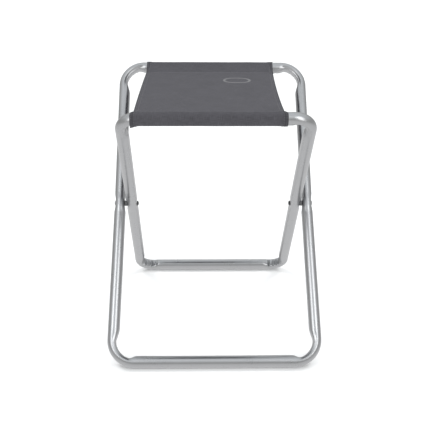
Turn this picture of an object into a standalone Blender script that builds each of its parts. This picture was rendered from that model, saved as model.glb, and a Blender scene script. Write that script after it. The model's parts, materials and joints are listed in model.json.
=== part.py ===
"""Folding camp stool: two closed loops of aluminium tube, crossed and riveted as an X, with a cloth seat.

The inner loop holds the front seat rail and the rear foot rail, the outer loop the rear seat rail and the
front foot rail. Both have a leg on each side, and they turn on one rivet on each side, half-way down.
Metres, +Z up. The origin is on the ground, midway between the two foot rails. X runs along the rails, and
the front of the stool is at -Y.
"""

import math

import bmesh
import bpy
from mathutils import Matrix, Vector

# Tube, in metres.
TUBE_RADIUS = 0.010
TUBE_WALL = 0.0012
CRUSH = 0.0056  # how far the inner side of a bend is pressed in
SPREAD = 0.0008  # how much wider that makes the tube, across the bend
PINCH = 0.0022  # how far each side is pressed in at the rivet
SEAM_GAP = 0.0006  # between the two ends of one tube, in the middle of its seat rail

# The two loops, to the tube's centre line. A half width is from the middle to a leg.
RAIL_HEIGHT = 0.4255
RAIL_HALF_DEPTH = 0.173
FOOT_HALF_DEPTH = 0.180
INNER_RAIL_HALF_WIDTH = 0.1404
INNER_FOOT_HALF_WIDTH = 0.1480
OUTER_RAIL_HALF_WIDTH = 0.1630
OUTER_FOOT_HALF_WIDTH = 0.1706
LEG_SPACING = 0.0210  # between the two tubes of one side, at the rivet
INNER_BEND_RADIUS = 0.029
OUTER_BEND_RADIUS = 0.037

# Rivets, spacers, washers and caps of the two pivots.
GAP = 0.0003  # between pieces that touch
RIVET_RADIUS = 0.0025
HOLE_RADIUS = 0.0026
HEAD_RADIUS = 0.0043
HEAD_HEIGHT = 0.0020
SPACER_RADIUS = 0.0048
WASHER_RADIUS = 0.0045
WASHER_THICKNESS = 0.0006
CAP_RADIUS = 0.0042
CAP_HEIGHT = 0.0027
CAP_POCKET_RADIUS = 0.0029
CAP_POCKET_DEPTH = 0.0016
RIVET_END = 0.0012  # what stands through the washer, inside the cap

# The insert that joins the two ends of a tube, and its pins.
INSERT_LENGTH = 0.060
INSERT_WALL = 0.0012
PIN_RADIUS = 0.0015
PIN_HOLE_RADIUS = 0.0016
PIN_OFFSET = 0.015
PIN_TOP = 0.0065  # below the tube's centre line
PIN_BOTTOM = 0.0099

# Cloth seat. Each sleeve wraps a seat rail; the seat's two layers leave it and meet at a sewn line.
CLOTH = 0.0008
FRONT_SLEEVE = (-0.1240, 0.1040)  # its two ends, along X
REAR_SLEEVE = (-0.1230, 0.1125)
SEAT_FRONT_EDGES = (-0.1245, 0.1018)  # the seat's two side edges at the front rail, along X
SEAT_REAR_EDGES = (-0.1208, 0.1103)
SEWN_LINE = 0.036  # from the rail's centre line to the sewn line
SEAT_CLEARANCE = 0.0005  # between a sleeve and the ends of the seat's two layers

ROUND_STEPS = 24
TUBE_SIDES = 14
SLEEVE_SIDES = 20
PIN_SIDES = 16
BEND_FRACTIONS = (0.0, 0.1, 0.2, 0.35, 0.5, 0.65, 0.8, 0.9, 1.0)
PINCH_OFFSETS = (-0.0105, -0.0075, -0.0048, 0.0048, 0.0075, 0.0105)
PINCH_FLAT = 0.0048  # half the length of the pressed flat
PINCH_REACH = 0.0105  # where the tube is round again
CRUSH_RAMP = 0.2  # part of a bend over which the crush comes in

# Worked out from the driving dimensions.
LEG_RUN = RAIL_HALF_DEPTH + FOOT_HALF_DEPTH
LEG_DROP = RAIL_HEIGHT - TUBE_RADIUS
LEG_LENGTH = math.hypot(LEG_RUN, LEG_DROP)
LEG_SLANT = math.atan2(LEG_RUN, LEG_DROP)
PIVOT_DOWN = LEG_LENGTH * RAIL_HALF_DEPTH / LEG_RUN
PIVOT_HEIGHT = RAIL_HEIGHT - PIVOT_DOWN * math.cos(LEG_SLANT)
INNER_PIVOT_HALF_WIDTH = INNER_RAIL_HALF_WIDTH + (
    INNER_FOOT_HALF_WIDTH - INNER_RAIL_HALF_WIDTH
) * (PIVOT_DOWN / LEG_LENGTH)
OUTER_PIVOT_HALF_WIDTH = INNER_PIVOT_HALF_WIDTH + LEG_SPACING


def smooth_step(value):
    value = min(max(value, 0.0), 1.0)
    return value * value * (3 - 2 * value)


def clear_scene():
    for old in list(bpy.data.objects):
        bpy.data.objects.remove(old, do_unlink=True)


def make_collection(name):
    collection = bpy.data.collections.new(name)
    bpy.context.scene.collection.children.link(collection)
    return collection


def make_material(name, color, roughness, metallic):
    material = bpy.data.materials.new(name)
    material.use_nodes = True
    shader = material.node_tree.nodes["Principled BSDF"]
    shader.inputs["Base Color"].default_value = (*color, 1.0)
    shader.inputs["Roughness"].default_value = roughness
    shader.inputs["Metallic"].default_value = metallic
    return material


def make_object(name, mesh, material, parent):
    """A new object of the stool. Its mesh is in world coordinates, and it moves with parent."""
    obj = bpy.data.objects.new(name, mesh)
    mesh.materials.append(material)
    stool.objects.link(obj)
    attach(obj, parent)
    return obj


def attach(obj, parent):
    """Parents obj and leaves it where it is."""
    obj.parent = parent
    obj.matrix_parent_inverse = Matrix.Translation(-parent.location)


def make_axis(name):
    """An empty on the pivots' axis, which one frame and all that moves with it hang from."""
    axis = bpy.data.objects.new(name, None)
    axis.location = (0.0, 0.0, PIVOT_HEIGHT)
    stool.objects.link(axis)
    return axis


class Loop:
    """The centre line of one tube loop, by its length from the middle of the seat rail, positive towards +X.

    The loop lies in its own slanted plane, whose coordinates are X and the distance down the legs.
    """

    def __init__(self, side, rail_half, pivot_half, foot_half, bend_radius):
        self.side = side  # -1 where the seat rail is at the front, 1 where it is at the rear
        self.radius = bend_radius
        self.corners = [
            Vector((0.0, 0.0)),
            Vector((rail_half, 0.0)),
            Vector((pivot_half, PIVOT_DOWN)),
            Vector((foot_half, LEG_LENGTH)),
            Vector((0.0, LEG_LENGTH)),
        ]
        self.ways = [(b - a).normalized() for a, b in zip(self.corners, self.corners[1:])]
        self.turns = (self.ways[0].angle(self.ways[1]), self.ways[2].angle(self.ways[3]))
        cut = [self.radius * math.tan(turn / 2) for turn in self.turns]
        spans = [(b - a).length for a, b in zip(self.corners, self.corners[1:])]
        self.rail_end = spans[0] - cut[0]
        self.leg_start = self.rail_end + self.radius * self.turns[0]
        self.pivot = self.leg_start + spans[1] - cut[0]
        self.leg_end = self.pivot + spans[2] - cut[1]
        self.foot_start = self.leg_end + self.radius * self.turns[1]
        self.half_length = self.foot_start + spans[3] - cut[1]

    def plane_point(self, length):
        """Point, outward normal and share of the bend passed, at a length on the +X half."""
        along, outward = self.ways[0], Vector((0.0, -1.0))
        if length <= self.rail_end:
            return along * length, outward, None
        if length < self.leg_start:
            start = along * self.rail_end
            return self.bend_point(start, outward, self.turns[0], length - self.rail_end)
        if length <= self.leg_end:
            way = self.ways[1] if length <= self.pivot else self.ways[2]
            point = self.corners[2] + way * (length - self.pivot)
            return point, Vector((way.y, -way.x)), None
        if length < self.foot_start:
            way = self.ways[2]
            start = self.corners[2] + way * (self.leg_end - self.pivot)
            outward = Vector((way.y, -way.x))
            return self.bend_point(start, outward, self.turns[1], length - self.leg_end)
        return Vector((self.half_length - length, LEG_LENGTH)), Vector((0.0, 1.0)), None

    def bend_point(self, start, outward, turn, passed):
        angle = passed / self.radius
        centre = start - outward * self.radius
        normal = outward.copy()
        normal.rotate(Matrix.Rotation(angle, 2))
        return centre + normal * self.radius, normal, angle / turn

    def station(self, length):
        """Centre, outward normal, across direction, crush and pinch, in space."""
        point, normal, bent = self.plane_point(abs(length))
        mirror = -1.0 if length < 0 else 1.0
        crush = 0.0
        if bent is not None:
            crush = smooth_step(bent / CRUSH_RAMP) * smooth_step((1 - bent) / CRUSH_RAMP)
        beyond_flat = abs(abs(length) - self.pivot) - PINCH_FLAT
        pinch = 1 - smooth_step(beyond_flat / (PINCH_REACH - PINCH_FLAT))
        return (
            self.in_space(Vector((mirror * point.x, point.y))),
            self.down_the_leg(Vector((mirror * normal.x, normal.y))),
            Vector((0.0, math.cos(LEG_SLANT), -self.side * math.sin(LEG_SLANT))),
            crush,
            pinch,
        )

    def down_the_leg(self, way):
        sine, cosine = math.sin(LEG_SLANT), math.cos(LEG_SLANT)
        return Vector((way.x, -self.side * sine * way.y, -cosine * way.y))

    def in_space(self, point):
        return self.down_the_leg(point) + Vector((0.0, self.side * RAIL_HALF_DEPTH, RAIL_HEIGHT))

    def tube_lengths(self):
        """Lengths for the tube's stations, from one side of its seam round to the other."""
        half = [SEAM_GAP / 2]
        half += [self.rail_end + f * self.radius * self.turns[0] for f in BEND_FRACTIONS]
        half += [self.pivot + offset for offset in PINCH_OFFSETS]
        half += [self.leg_end + f * self.radius * self.turns[1] for f in BEND_FRACTIONS]
        return half + [-length for length in reversed(half)]

    def rail_lengths(self, low, high):
        """Lengths along the seat rail from X = low to X = high, which may reach into a bend."""
        ends = [self.rail_length(low), self.rail_length(high)]
        bends = [self.rail_end + f * self.radius * self.turns[0] for f in BEND_FRACTIONS]
        between = [sign * length for sign in (-1, 1) for length in bends]
        return sorted(ends + [value for value in between if ends[0] < value < ends[1]])

    def rail_length(self, x):
        past = abs(x) - self.rail_end
        length = abs(x) if past <= 0 else self.rail_end + self.radius * math.asin(past / self.radius)
        return math.copysign(length, x)


def section(station, offset, sides, first_angle):
    """The tube's outline at a station, offset outwards, as a ring of points."""
    centre, outward, across, crush, pinch = station
    radius = TUBE_RADIUS + offset
    outer_depth = radius - pinch * PINCH
    inner_depth = outer_depth - crush * CRUSH
    width = radius + crush * SPREAD
    ring = []
    for index in range(sides):
        angle = first_angle + 2 * math.pi * index / sides
        depth = outer_depth if math.cos(angle) > 0 else inner_depth
        ring.append(centre + outward * (depth * math.cos(angle)) + across * (width * math.sin(angle)))
    return ring


def sweep(loop, lengths, offsets, sides):
    """A loft along a loop's centre line. Offsets are from the frame tube's skin: one makes a rod, two a tube."""
    first_angle = loop.side * LEG_SLANT  # puts a corner of the section straight down at the foot rail
    mesh = bmesh.new()
    skins = []
    for offset in offsets:
        rings = [section(loop.station(length), offset, sides, first_angle) for length in lengths]
        skins.append([[mesh.verts.new(point) for point in ring] for ring in rings])
    for rings in skins:
        for ring, following in zip(rings, rings[1:]):
            bridge(mesh, ring, following)
    for end in (0, -1):
        if len(skins) == 1:
            mesh.faces.new(skins[0][end])
        else:
            bridge(mesh, skins[0][end], skins[1][end])
    return finished(mesh)


def bridge(mesh, ring, other):
    for index in range(len(ring)):
        following = (index + 1) % len(ring)
        mesh.faces.new((ring[index], ring[following], other[following], other[index]))


def finished(mesh):
    """The bmesh as a mesh with its faces turned out, shaded smooth where it is round."""
    bmesh.ops.recalc_face_normals(mesh, faces=mesh.faces)
    data = bpy.data.meshes.new("stool_mesh")
    mesh.to_mesh(data)
    mesh.free()
    data.shade_smooth()
    data.set_sharp_from_angle(angle=math.radians(40))
    return data


def make_turned(name, profile, start, direction, material, parent):
    """A turned piece: profile holds (radius, height) from the outer top down, and height runs along direction."""
    data = bpy.data.meshes.new(name)
    on_axis = profile[0][0] == 0
    count = len(profile)
    edges = [(index, index + 1) for index in range(count - 1)]
    if not on_axis:
        edges.append((count - 1, 0))
    data.from_pydata([(radius, 0.0, height) for radius, height in profile], edges, [])
    obj = bpy.data.objects.new(name, data)
    data.materials.append(material)
    stool.objects.link(obj)
    obj.location = Vector(start) - parent.location
    obj.rotation_mode = "QUATERNION"
    obj.rotation_quaternion = Vector((0.0, 0.0, 1.0)).rotation_difference(Vector(direction))
    obj.parent = parent
    screw = obj.modifiers.new("turn", "SCREW")
    screw.axis = "Z"
    screw.steps = ROUND_STEPS
    screw.render_steps = ROUND_STEPS
    screw.use_merge_vertices = True
    screw.merge_threshold = 0.00001
    screw.use_smooth_shade = False
    return obj


def make_cutter(name, data):
    cutter = bpy.data.objects.new(name, data)
    cutter.hide_render = True
    cutter.display_type = "WIRE"
    cutters.objects.link(cutter)
    return cutter


def make_drill(name, start, end, radius, sides):
    """A cylinder that cuts a hole, from start to end."""
    middle = (Vector(start) + Vector(end)) / 2
    way = Vector(end) - Vector(start)
    mesh = bmesh.new()
    bmesh.ops.create_cone(
        mesh, cap_ends=True, segments=sides, radius1=radius, radius2=radius, depth=way.length
    )
    turn = Vector((0.0, 0.0, 1.0)).rotation_difference(way).to_matrix().to_4x4()
    bmesh.ops.transform(mesh, matrix=Matrix.Translation(middle) @ turn, verts=mesh.verts)
    return make_cutter(name, finished(mesh))


def cut(obj, cutter):
    boolean = obj.modifiers.new(cutter.name, "BOOLEAN")
    boolean.operation = "DIFFERENCE"
    boolean.solver = "EXACT"
    boolean.object = cutter


def make_frame(name, loop, parent, pivot_half):
    """One tube loop with its rivet holes, the insert in its seam, and the insert's two pins."""
    mesh = sweep(loop, loop.tube_lengths(), (0.0, -TUBE_WALL), TUBE_SIDES)
    tube = make_object(f"{name}_frame_tube", mesh, aluminium, parent)
    rail_y = loop.side * RAIL_HALF_DEPTH
    insert_radius = TUBE_RADIUS - TUBE_WALL - GAP
    bore = insert_radius - INSERT_WALL
    half = INSERT_LENGTH / 2
    profile = [(insert_radius, half), (insert_radius, -half), (bore, -half), (bore, half)]
    insert = make_turned(
        f"{name}_frame_insert", profile, (0, rail_y, RAIL_HEIGHT), (1, 0, 0), insert_metal, parent
    )
    for side_name, sign in (("left", -1), ("right", 1)):
        reach = 2 * TUBE_RADIUS
        x = sign * pivot_half
        axis_start = (x - reach, 0, PIVOT_HEIGHT)
        axis_end = (x + reach, 0, PIVOT_HEIGHT)
        cutter_name = f"{name}_{side_name}"
        cut(tube, make_drill(f"{cutter_name}_hole", axis_start, axis_end, HOLE_RADIUS, ROUND_STEPS))
        pin_x = sign * PIN_OFFSET
        hole_start = (pin_x, rail_y, RAIL_HEIGHT - PIN_TOP / 2)
        hole_end = (pin_x, rail_y, RAIL_HEIGHT - 2 * TUBE_RADIUS)
        hole = make_drill(f"{cutter_name}_pin_hole", hole_start, hole_end, PIN_HOLE_RADIUS, PIN_SIDES)
        cut(tube, hole)
        cut(insert, hole)
        make_pin(f"{name}_frame_{side_name}_pin", (pin_x, rail_y, RAIL_HEIGHT), parent)


def make_pin(name, rail_point, parent):
    mesh = bmesh.new()
    bmesh.ops.create_cone(
        mesh,
        cap_ends=True,
        segments=PIN_SIDES,
        radius1=PIN_RADIUS,
        radius2=PIN_RADIUS,
        depth=PIN_BOTTOM - PIN_TOP,
    )
    middle = Vector(rail_point) - Vector((0, 0, (PIN_TOP + PIN_BOTTOM) / 2))
    bmesh.ops.translate(mesh, verts=mesh.verts, vec=middle)
    make_object(name, finished(mesh), steel, parent)


def dome(radius, height, steps=5):
    """Profile of a shallow dome from its top to its edge, as (radius, height)."""
    quarter = math.pi / 2
    return [
        (radius * math.sin(quarter * k / steps), height * math.cos(quarter * k / steps))
        for k in range(steps + 1)
    ]


def make_pivot(side_name, sign, parent):
    """The rivet of one side with its spacer, washer and cap, which all turn with the outer frame."""
    pressed_half = TUBE_RADIUS - PINCH
    outer_face = OUTER_PIVOT_HALF_WIDTH + pressed_half
    outer_inside = OUTER_PIVOT_HALF_WIDTH - pressed_half
    inner_outside = INNER_PIVOT_HALF_WIDTH + pressed_half
    inner_face = INNER_PIVOT_HALF_WIDTH - pressed_half
    washer_face = inner_face - GAP - WASHER_THICKNESS
    outwards = (sign, 0, 0)

    def at(half_width):
        return (sign * half_width, 0, PIVOT_HEIGHT)

    head_base = outer_face + GAP
    shank_end = washer_face - RIVET_END
    head = dome(HEAD_RADIUS, HEAD_HEIGHT)
    shank = [(RIVET_RADIUS, 0.0), (RIVET_RADIUS, shank_end - head_base), (0.0, shank_end - head_base)]
    make_turned(f"{side_name}_pivot_rivet", head + shank, at(head_base), outwards, steel, parent)

    spacer = washer_profile(SPACER_RADIUS, outer_inside - inner_outside - 2 * GAP)
    make_turned(f"{side_name}_pivot_spacer", spacer, at(inner_outside + GAP), outwards, dark_plastic, parent)

    washer = washer_profile(WASHER_RADIUS, WASHER_THICKNESS)
    make_turned(f"{side_name}_pivot_washer", washer, at(washer_face), outwards, steel, parent)

    cap = dome(CAP_RADIUS, CAP_HEIGHT) + [
        (CAP_POCKET_RADIUS, 0.0),
        (CAP_POCKET_RADIUS, CAP_POCKET_DEPTH),
        (0.0, CAP_POCKET_DEPTH),
    ]
    inwards = (-sign, 0, 0)
    make_turned(f"{side_name}_pivot_cap", cap, at(washer_face - GAP), inwards, black_plastic, parent)


def washer_profile(radius, thickness):
    return [(radius, thickness), (radius, 0.0), (HOLE_RADIUS, 0.0), (HOLE_RADIUS, thickness)]


def make_sleeve(name, loop, ends, parent):
    mesh = sweep(loop, loop.rail_lengths(*ends), (GAP + CLOTH, GAP), SLEEVE_SIDES)
    make_object(name, mesh, cloth, parent)


def make_seat(parent):
    """The seat: one layer in the middle, and towards each rail two layers that open to wrap its sleeve."""
    sleeve_radius = TUBE_RADIUS + GAP + CLOTH
    opening = math.asin(sleeve_radius / SEWN_LINE)  # angle of one layer to the seat's plane
    layer_length = SEWN_LINE * math.cos(opening)
    short_of_sleeve = math.sqrt((sleeve_radius + SEAT_CLEARANCE) ** 2 - (sleeve_radius - CLOTH) ** 2)
    run = layer_length - short_of_sleeve
    sine, cosine = math.sin(opening), math.cos(opening)
    outer_end = (SEWN_LINE - run * cosine, run * sine)
    inner_end = (outer_end[0] - CLOTH * sine, outer_end[1] - CLOTH * cosine)
    fork = SEWN_LINE - CLOTH / sine
    half_cloth = CLOTH / 2
    upper_joint = (SEWN_LINE - half_cloth / math.tan(opening), half_cloth)
    lower_half = [(fork, 0.0), (inner_end[0], -inner_end[1]), (outer_end[0], -outer_end[1])]
    lower_half.append((upper_joint[0], -half_cloth))
    upper_half = [upper_joint, outer_end, inner_end]
    front = upper_half + lower_half
    outline = [(-RAIL_HALF_DEPTH + y, RAIL_HEIGHT + z) for y, z in front]
    outline += [(-y, 2 * RAIL_HEIGHT - z) for y, z in outline]

    mesh = bmesh.new()
    rims = []
    for front_edge, rear_edge in zip(SEAT_FRONT_EDGES, SEAT_REAR_EDGES):
        rim = []
        for y, z in outline:
            share = (y + RAIL_HALF_DEPTH) / (2 * RAIL_HALF_DEPTH)
            rim.append(mesh.verts.new((front_edge + share * (rear_edge - front_edge), y, z)))
        mesh.faces.new(rim)
        rims.append(rim)
    bridge(mesh, rims[0], rims[1])
    seat = make_object("seat_panel", finished(mesh), cloth, parent)
    bend_lengths = inner_loop.rail_lengths(FRONT_SLEEVE[0] - CLOTH, -FRONT_SLEEVE[1])
    room = sweep(inner_loop, bend_lengths, (CLOTH + 2 * GAP,), SLEEVE_SIDES)
    cut(seat, make_cutter("front_sleeve_room", room))


clear_scene()
stool = make_collection("camp_stool")
cutters = make_collection("cutters")

aluminium = make_material("satin_aluminium", (0.62, 0.63, 0.65), 0.32, 1.0)
insert_metal = make_material("insert_aluminium", (0.55, 0.56, 0.58), 0.45, 1.0)
steel = make_material("zinc_steel", (0.42, 0.42, 0.43), 0.35, 1.0)
dark_plastic = make_material("grey_nylon", (0.09, 0.09, 0.10), 0.50, 0.0)
black_plastic = make_material("black_nylon", (0.02, 0.02, 0.02), 0.45, 0.0)
cloth = make_material("grey_polyester", (0.13, 0.13, 0.14), 0.85, 0.0)

outer_axis = make_axis("outer_frame_axis")
inner_axis = make_axis("inner_frame_axis")

outer_loop = Loop(
    1, OUTER_RAIL_HALF_WIDTH, OUTER_PIVOT_HALF_WIDTH, OUTER_FOOT_HALF_WIDTH, OUTER_BEND_RADIUS
)
inner_loop = Loop(
    -1, INNER_RAIL_HALF_WIDTH, INNER_PIVOT_HALF_WIDTH, INNER_FOOT_HALF_WIDTH, INNER_BEND_RADIUS
)
make_frame("outer", outer_loop, outer_axis, OUTER_PIVOT_HALF_WIDTH)
make_frame("inner", inner_loop, inner_axis, INNER_PIVOT_HALF_WIDTH)
make_pivot("left", -1, outer_axis)
make_pivot("right", 1, outer_axis)
make_sleeve("seat_front_sleeve", inner_loop, FRONT_SLEEVE, inner_axis)
make_sleeve("seat_rear_sleeve", outer_loop, REAR_SLEEVE, outer_axis)
make_seat(outer_axis)
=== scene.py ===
"""Looks of the folding camp stool: tubes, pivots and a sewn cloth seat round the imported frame, in metres."""

import json
import math

import bmesh
import bpy
import numpy as np
from mathutils import Matrix, Vector


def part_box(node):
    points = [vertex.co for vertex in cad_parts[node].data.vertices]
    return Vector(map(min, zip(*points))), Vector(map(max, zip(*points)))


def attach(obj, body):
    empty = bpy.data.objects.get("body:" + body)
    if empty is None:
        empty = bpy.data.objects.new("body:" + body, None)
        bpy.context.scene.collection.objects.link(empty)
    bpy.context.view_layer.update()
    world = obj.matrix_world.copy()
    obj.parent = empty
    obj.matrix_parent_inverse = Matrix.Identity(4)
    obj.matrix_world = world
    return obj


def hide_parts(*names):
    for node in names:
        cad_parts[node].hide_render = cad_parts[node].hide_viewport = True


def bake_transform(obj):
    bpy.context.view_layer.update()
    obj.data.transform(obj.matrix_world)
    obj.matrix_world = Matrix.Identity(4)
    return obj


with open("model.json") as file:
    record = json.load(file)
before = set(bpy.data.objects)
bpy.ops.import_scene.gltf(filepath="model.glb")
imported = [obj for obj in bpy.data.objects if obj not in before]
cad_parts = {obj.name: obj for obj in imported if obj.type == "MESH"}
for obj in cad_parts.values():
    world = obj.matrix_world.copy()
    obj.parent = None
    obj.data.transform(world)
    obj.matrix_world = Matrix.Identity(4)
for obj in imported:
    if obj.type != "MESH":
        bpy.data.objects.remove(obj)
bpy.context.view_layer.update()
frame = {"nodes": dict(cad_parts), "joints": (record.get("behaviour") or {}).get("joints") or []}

# The two loops of tube, to their centre lines, as the frame has them.
TUBE_RADIUS = 0.010
TUBE_WALL = 0.0012
SEAM_GAP = 0.0006
RAIL_HEIGHT = 0.4255
RAIL_HALF_DEPTH = 0.173
FOOT_HALF_DEPTH = 0.180
INNER_RAIL_HALF_WIDTH = 0.1404
INNER_FOOT_HALF_WIDTH = 0.1480
OUTER_RAIL_HALF_WIDTH = 0.1630
OUTER_FOOT_HALF_WIDTH = 0.1706
LEG_SPACING = 0.0210
INNER_BEND_RADIUS = 0.029
OUTER_BEND_RADIUS = 0.037
LEG_RUN = RAIL_HALF_DEPTH + FOOT_HALF_DEPTH
LEG_DROP = RAIL_HEIGHT - TUBE_RADIUS
LEG_LENGTH = math.hypot(LEG_RUN, LEG_DROP)
LEG_SLANT = math.atan2(LEG_RUN, LEG_DROP)
PIVOT_DOWN = LEG_LENGTH * RAIL_HALF_DEPTH / LEG_RUN
PIVOT_HEIGHT = frame["joints"][0]["pos_m"][2]
PIVOT_SHARE = PIVOT_DOWN / LEG_LENGTH
INNER_WIDENING = INNER_FOOT_HALF_WIDTH - INNER_RAIL_HALF_WIDTH
INNER_PIVOT_HALF_WIDTH = INNER_RAIL_HALF_WIDTH + PIVOT_SHARE * INNER_WIDENING
OUTER_PIVOT_HALF_WIDTH = INNER_PIVOT_HALF_WIDTH + LEG_SPACING

# How a bend is crushed on its inner side.
CRUSH = 0.0054  # how far the inner side is pushed in
SPREAD = 0.0008  # how far the tube bulges sideways there
CRUSH_SQUARENESS = 0.5  # how square the inner half of the section gets
CRUSH_RAIL_RAMP = (-0.003, 0.013)  # along the tube, from the bend's end at a rail, positive into the bend
INNER_FOOT_RAMP = (-0.011, 0.005)  # the same on the inner loop's foot rail
CRUSH_LEG_RAMP = (-0.018, 0.007)  # the same at the bend's end at a leg
SHOULDER_DEPTH = (0.0031, 0.0012)  # of the step along a bend's inner half, at the seat rail and the foot rail
SHOULDER_TURNS = (math.radians(80), math.radians(104))  # where the step runs, turned from the outer side
OUTER_WRINKLES = (0.0003, 0.00012)  # depth inside the bends at the seat rail and at the foot rail
INNER_WRINKLES = (0.0004, 0.0017)
WRINKLE_PITCH = 0.0088
WRINKLE_OVERTONE = (0.5, 1.7, 1.3)  # size, pitch and phase of the second wave, against the first
WRINKLE_FADE = 1.5  # how fast the wrinkles fade away from a bend's innermost line

# How a leg is pressed flat under its rivet, and the tube's holes.
PINCH = 0.0022  # how far each side is pressed in
PINCH_FLAT = 0.0042  # half length of the flat, along the tube
PINCH_REACH = 0.019  # from the rivet to where the tube is round again
PINCH_SPREAD = 0.0007  # how far the tube bulges across the press
PINCH_ROUNDING = 0.0012
PINCH_ONSET = 4  # how soon the section is squared off on the way to the rivet
HOLE_RADIUS = 0.0026
PIN_HOLE_RADIUS = 0.0016
PIN_OFFSET = 0.015
DRILL_SIDES = 32

# Spacing of the tube's rings.
TUBE_SIDES = 56
BEND_STEP = 0.0012
PINCH_STEP = 0.0009
LEG_STEP = 0.012

# Pivot pieces.
RIVET_HEAD_HEIGHT = 0.0020
RIVET_HEAD_RIM = 0.14  # the upright part of the head, as a share of its height
RIVET_HEAD_UNDERCUT = 0.0001
RIVET_SHANK_RADIUS = 0.0025
SPACER_CHAMFER = 0.0005
WASHER_CHAMFER = 0.00015
CAP_RIM = 0.0007
CAP_DOME_INSET = 0.00035
CAP_ROUNDING = 0.00025
CAP_BORE = (0.0029, 0.0014)  # radius and depth
TURNED_SIDES = 64
WELD_DISTANCE = 0.00001
SHARP_ANGLE = math.radians(35)

# Cloth seat: one cut that wraps both rails, with a hem along each side.
CLOTH = 0.0005
SLEEVE_GAP = 0.0003
SLEEVE_RADIUS = TUBE_RADIUS + SLEEVE_GAP + CLOTH / 2
SEWN_LINE = 0.036
SEAM_ALLOWANCE = 0.008
LAYER = 0.00056  # from one layer's middle to the next one's
SEAM_DROP = 1.1 * LAYER  # from the panel down to the layer sewn under it
FRONT = RAIL_HALF_DEPTH - SEWN_LINE
STATION_STEP = 0.0024
WRAP_STEP = 0.0012
FACE_SHARES = (0.25, 0.78)  # where the cloth's edge reaches and leaves the rail's face, as shares of the wrap
PANEL_SAG = 0.0012
PANEL_MIDDLE = -0.0085
PANEL_HALF = 0.115
PANEL_COLUMNS = 40

# Side hems and the rows of stitches.
HEM = 0.0078
HEM_EASE = 0.003  # how far past the hem the raised cloth comes down
HEM_UNDER = (HEM, HEM - 0.002, 0.004, 0.0016, 0.0006)  # columns of the turned-in layer, from the side edge
HEM_FOLD = ((0.0001, -0.75), (0.0, -0.5), (0.0001, -0.25))  # columns round the fold, each with its layer
HEM_OVER = (0.0006, 0.0013, 0.0021, 0.0029, 0.0040, 0.0051, 0.0060, 0.0069, 0.0080, 0.0100, 0.0130)
HEM_ROWS = (0.0021, 0.0060)  # rows of stitches, from the side edge
SEAM_ROWS = (0.0008, 0.0042)  # rows of stitches, from the sewn line towards the middle of the seat
SEAM_INSET = 0.001
SEAM_POINTS = 80
LOWER_ROW_REACH = 0.5  # how far the hem's lower rows run on towards a rail, as a share of the way
THREAD_LIFT = CLOTH / 2 + 0.00005

# Relief of the cloth: depth or height, then width or reach.
HEM_HOLLOW = (0.00016, 0.0007)
SEAM_HOLLOW = (0.00018, 0.0008)
PUCKER = (0.00010, 0.009)
PUCKER_WAVES = ((1.0, 930, 1), (0.6, 611, 2))  # size, radians per metre, phase by side
RIPPLE = (0.00016, 0.00004)  # height of the slow and of the fine unevenness
RIPPLE_HOLD = 0.6  # the share of it that is lost round a rail
SLOW_WAVES = ((61, 0.7), (23, 1.1))  # radians per metre and phase, across the cloth and along it
SLANTED_WAVE = (0.6, 113, 31)  # size, then radians per metre across the cloth and along it
FINE_WAVES = (260, 150)  # radians per metre, across the cloth and along it
FINE_WANDER = (3, 40)  # how far the fine waves wander, in radians, and how often along the cloth

# Looks of the cloth, painted shade included.
FOLD_WIDTH = 0.0028  # the part of a side hem coloured darker, as painted shade, where the cloth is free of the rails
HEM_SHADE = 0.5  # painted shade: how much darker doubled cloth is coloured, standing for the light that a single layer lets through from below, as a share of the weave's range of tones
HEM_SOFTNESS = 0.3  # how gradually that painted shade ends, as a share of the hem's width
CASING_SHADE = 0.10  # painted shade: how much darker the cloth is coloured round a rail, as a share of the same range
WEAVE_TONES = (0.66, 1.24)
PRINT_PLACE = (0.041, 0.327)  # across the cloth and along it
PRINT_HALF_LENGTH = 0.006
PRINT_RADII = (0.0142, 0.0185)
PRINT_COLOR = (0.19, 0.19, 0.195)
PRINT_COVER = 0.8
MIX_COLOR_A, MIX_COLOR_B, MIX_COLOR_RESULT = 6, 7, 2  # sockets of a Mix node that is set to colours

# Stage.
FLOOR_HALF_SIZE = 30.0
SOFTBOX_PLACE = (1.0, -1.2, 1.18)
SOFTBOX_TARGET = (0, 0, 0.2)
SOFTBOX_SIZE = (0.85, 1.2)
SOFTBOX_ENERGY = 6.6
FILL_TOWARDS = (0.55, 0.30, 0.78)
FILL_ENERGY = 0.80
FILL_ANGLE = math.radians(24)
CAMERA_PLACE = (-0.02488, -1.24936, 0.73180)
CAMERA_PITCH = 0.403100
CAMERA_YAW = 0.021972
CAMERA_ROLL = -0.0068977
CAMERA_LENS = 63.65


def smooth_step(value):
    """From 0 to 1 as value goes from 0 to 1, level at both ends."""
    value = np.clip(value, 0.0, 1.0)
    return value * value * (3 - 2 * value)


def soft_min(a, b, rounding):
    """The smaller of a and b, rounded where they meet."""
    share = np.clip(0.5 + 0.5 * (b - a) / rounding, 0.0, 1.0)
    return b * (1 - share) + a * share - rounding * share * (1 - share)


def make_object(name, points, faces, material, maps=None):
    """A mesh object with smooth faces. maps holds, by name, a pair of coordinates for each point."""
    mesh = bpy.data.meshes.new(name)
    mesh.from_pydata([tuple(point) for point in points], [], faces)
    mesh.shade_smooth()
    for map_name, pairs in (maps or {}).items():
        layer = mesh.uv_layers.new(name=map_name)
        for loop in mesh.loops:
            layer.data[loop.index].uv = pairs[loop.vertex_index]
    obj = bpy.data.objects.new(name, mesh)
    bpy.context.scene.collection.objects.link(obj)
    obj.data.materials.append(material)
    return obj


def turn_out(obj, weld=False):
    """Turns all faces outwards, after joining points that lie together if weld is set."""
    mesh = bmesh.new()
    mesh.from_mesh(obj.data)
    if weld:
        bmesh.ops.remove_doubles(mesh, verts=mesh.verts, dist=WELD_DISTANCE)
    bmesh.ops.recalc_face_normals(mesh, faces=mesh.faces)
    mesh.to_mesh(obj.data)
    mesh.free()


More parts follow.
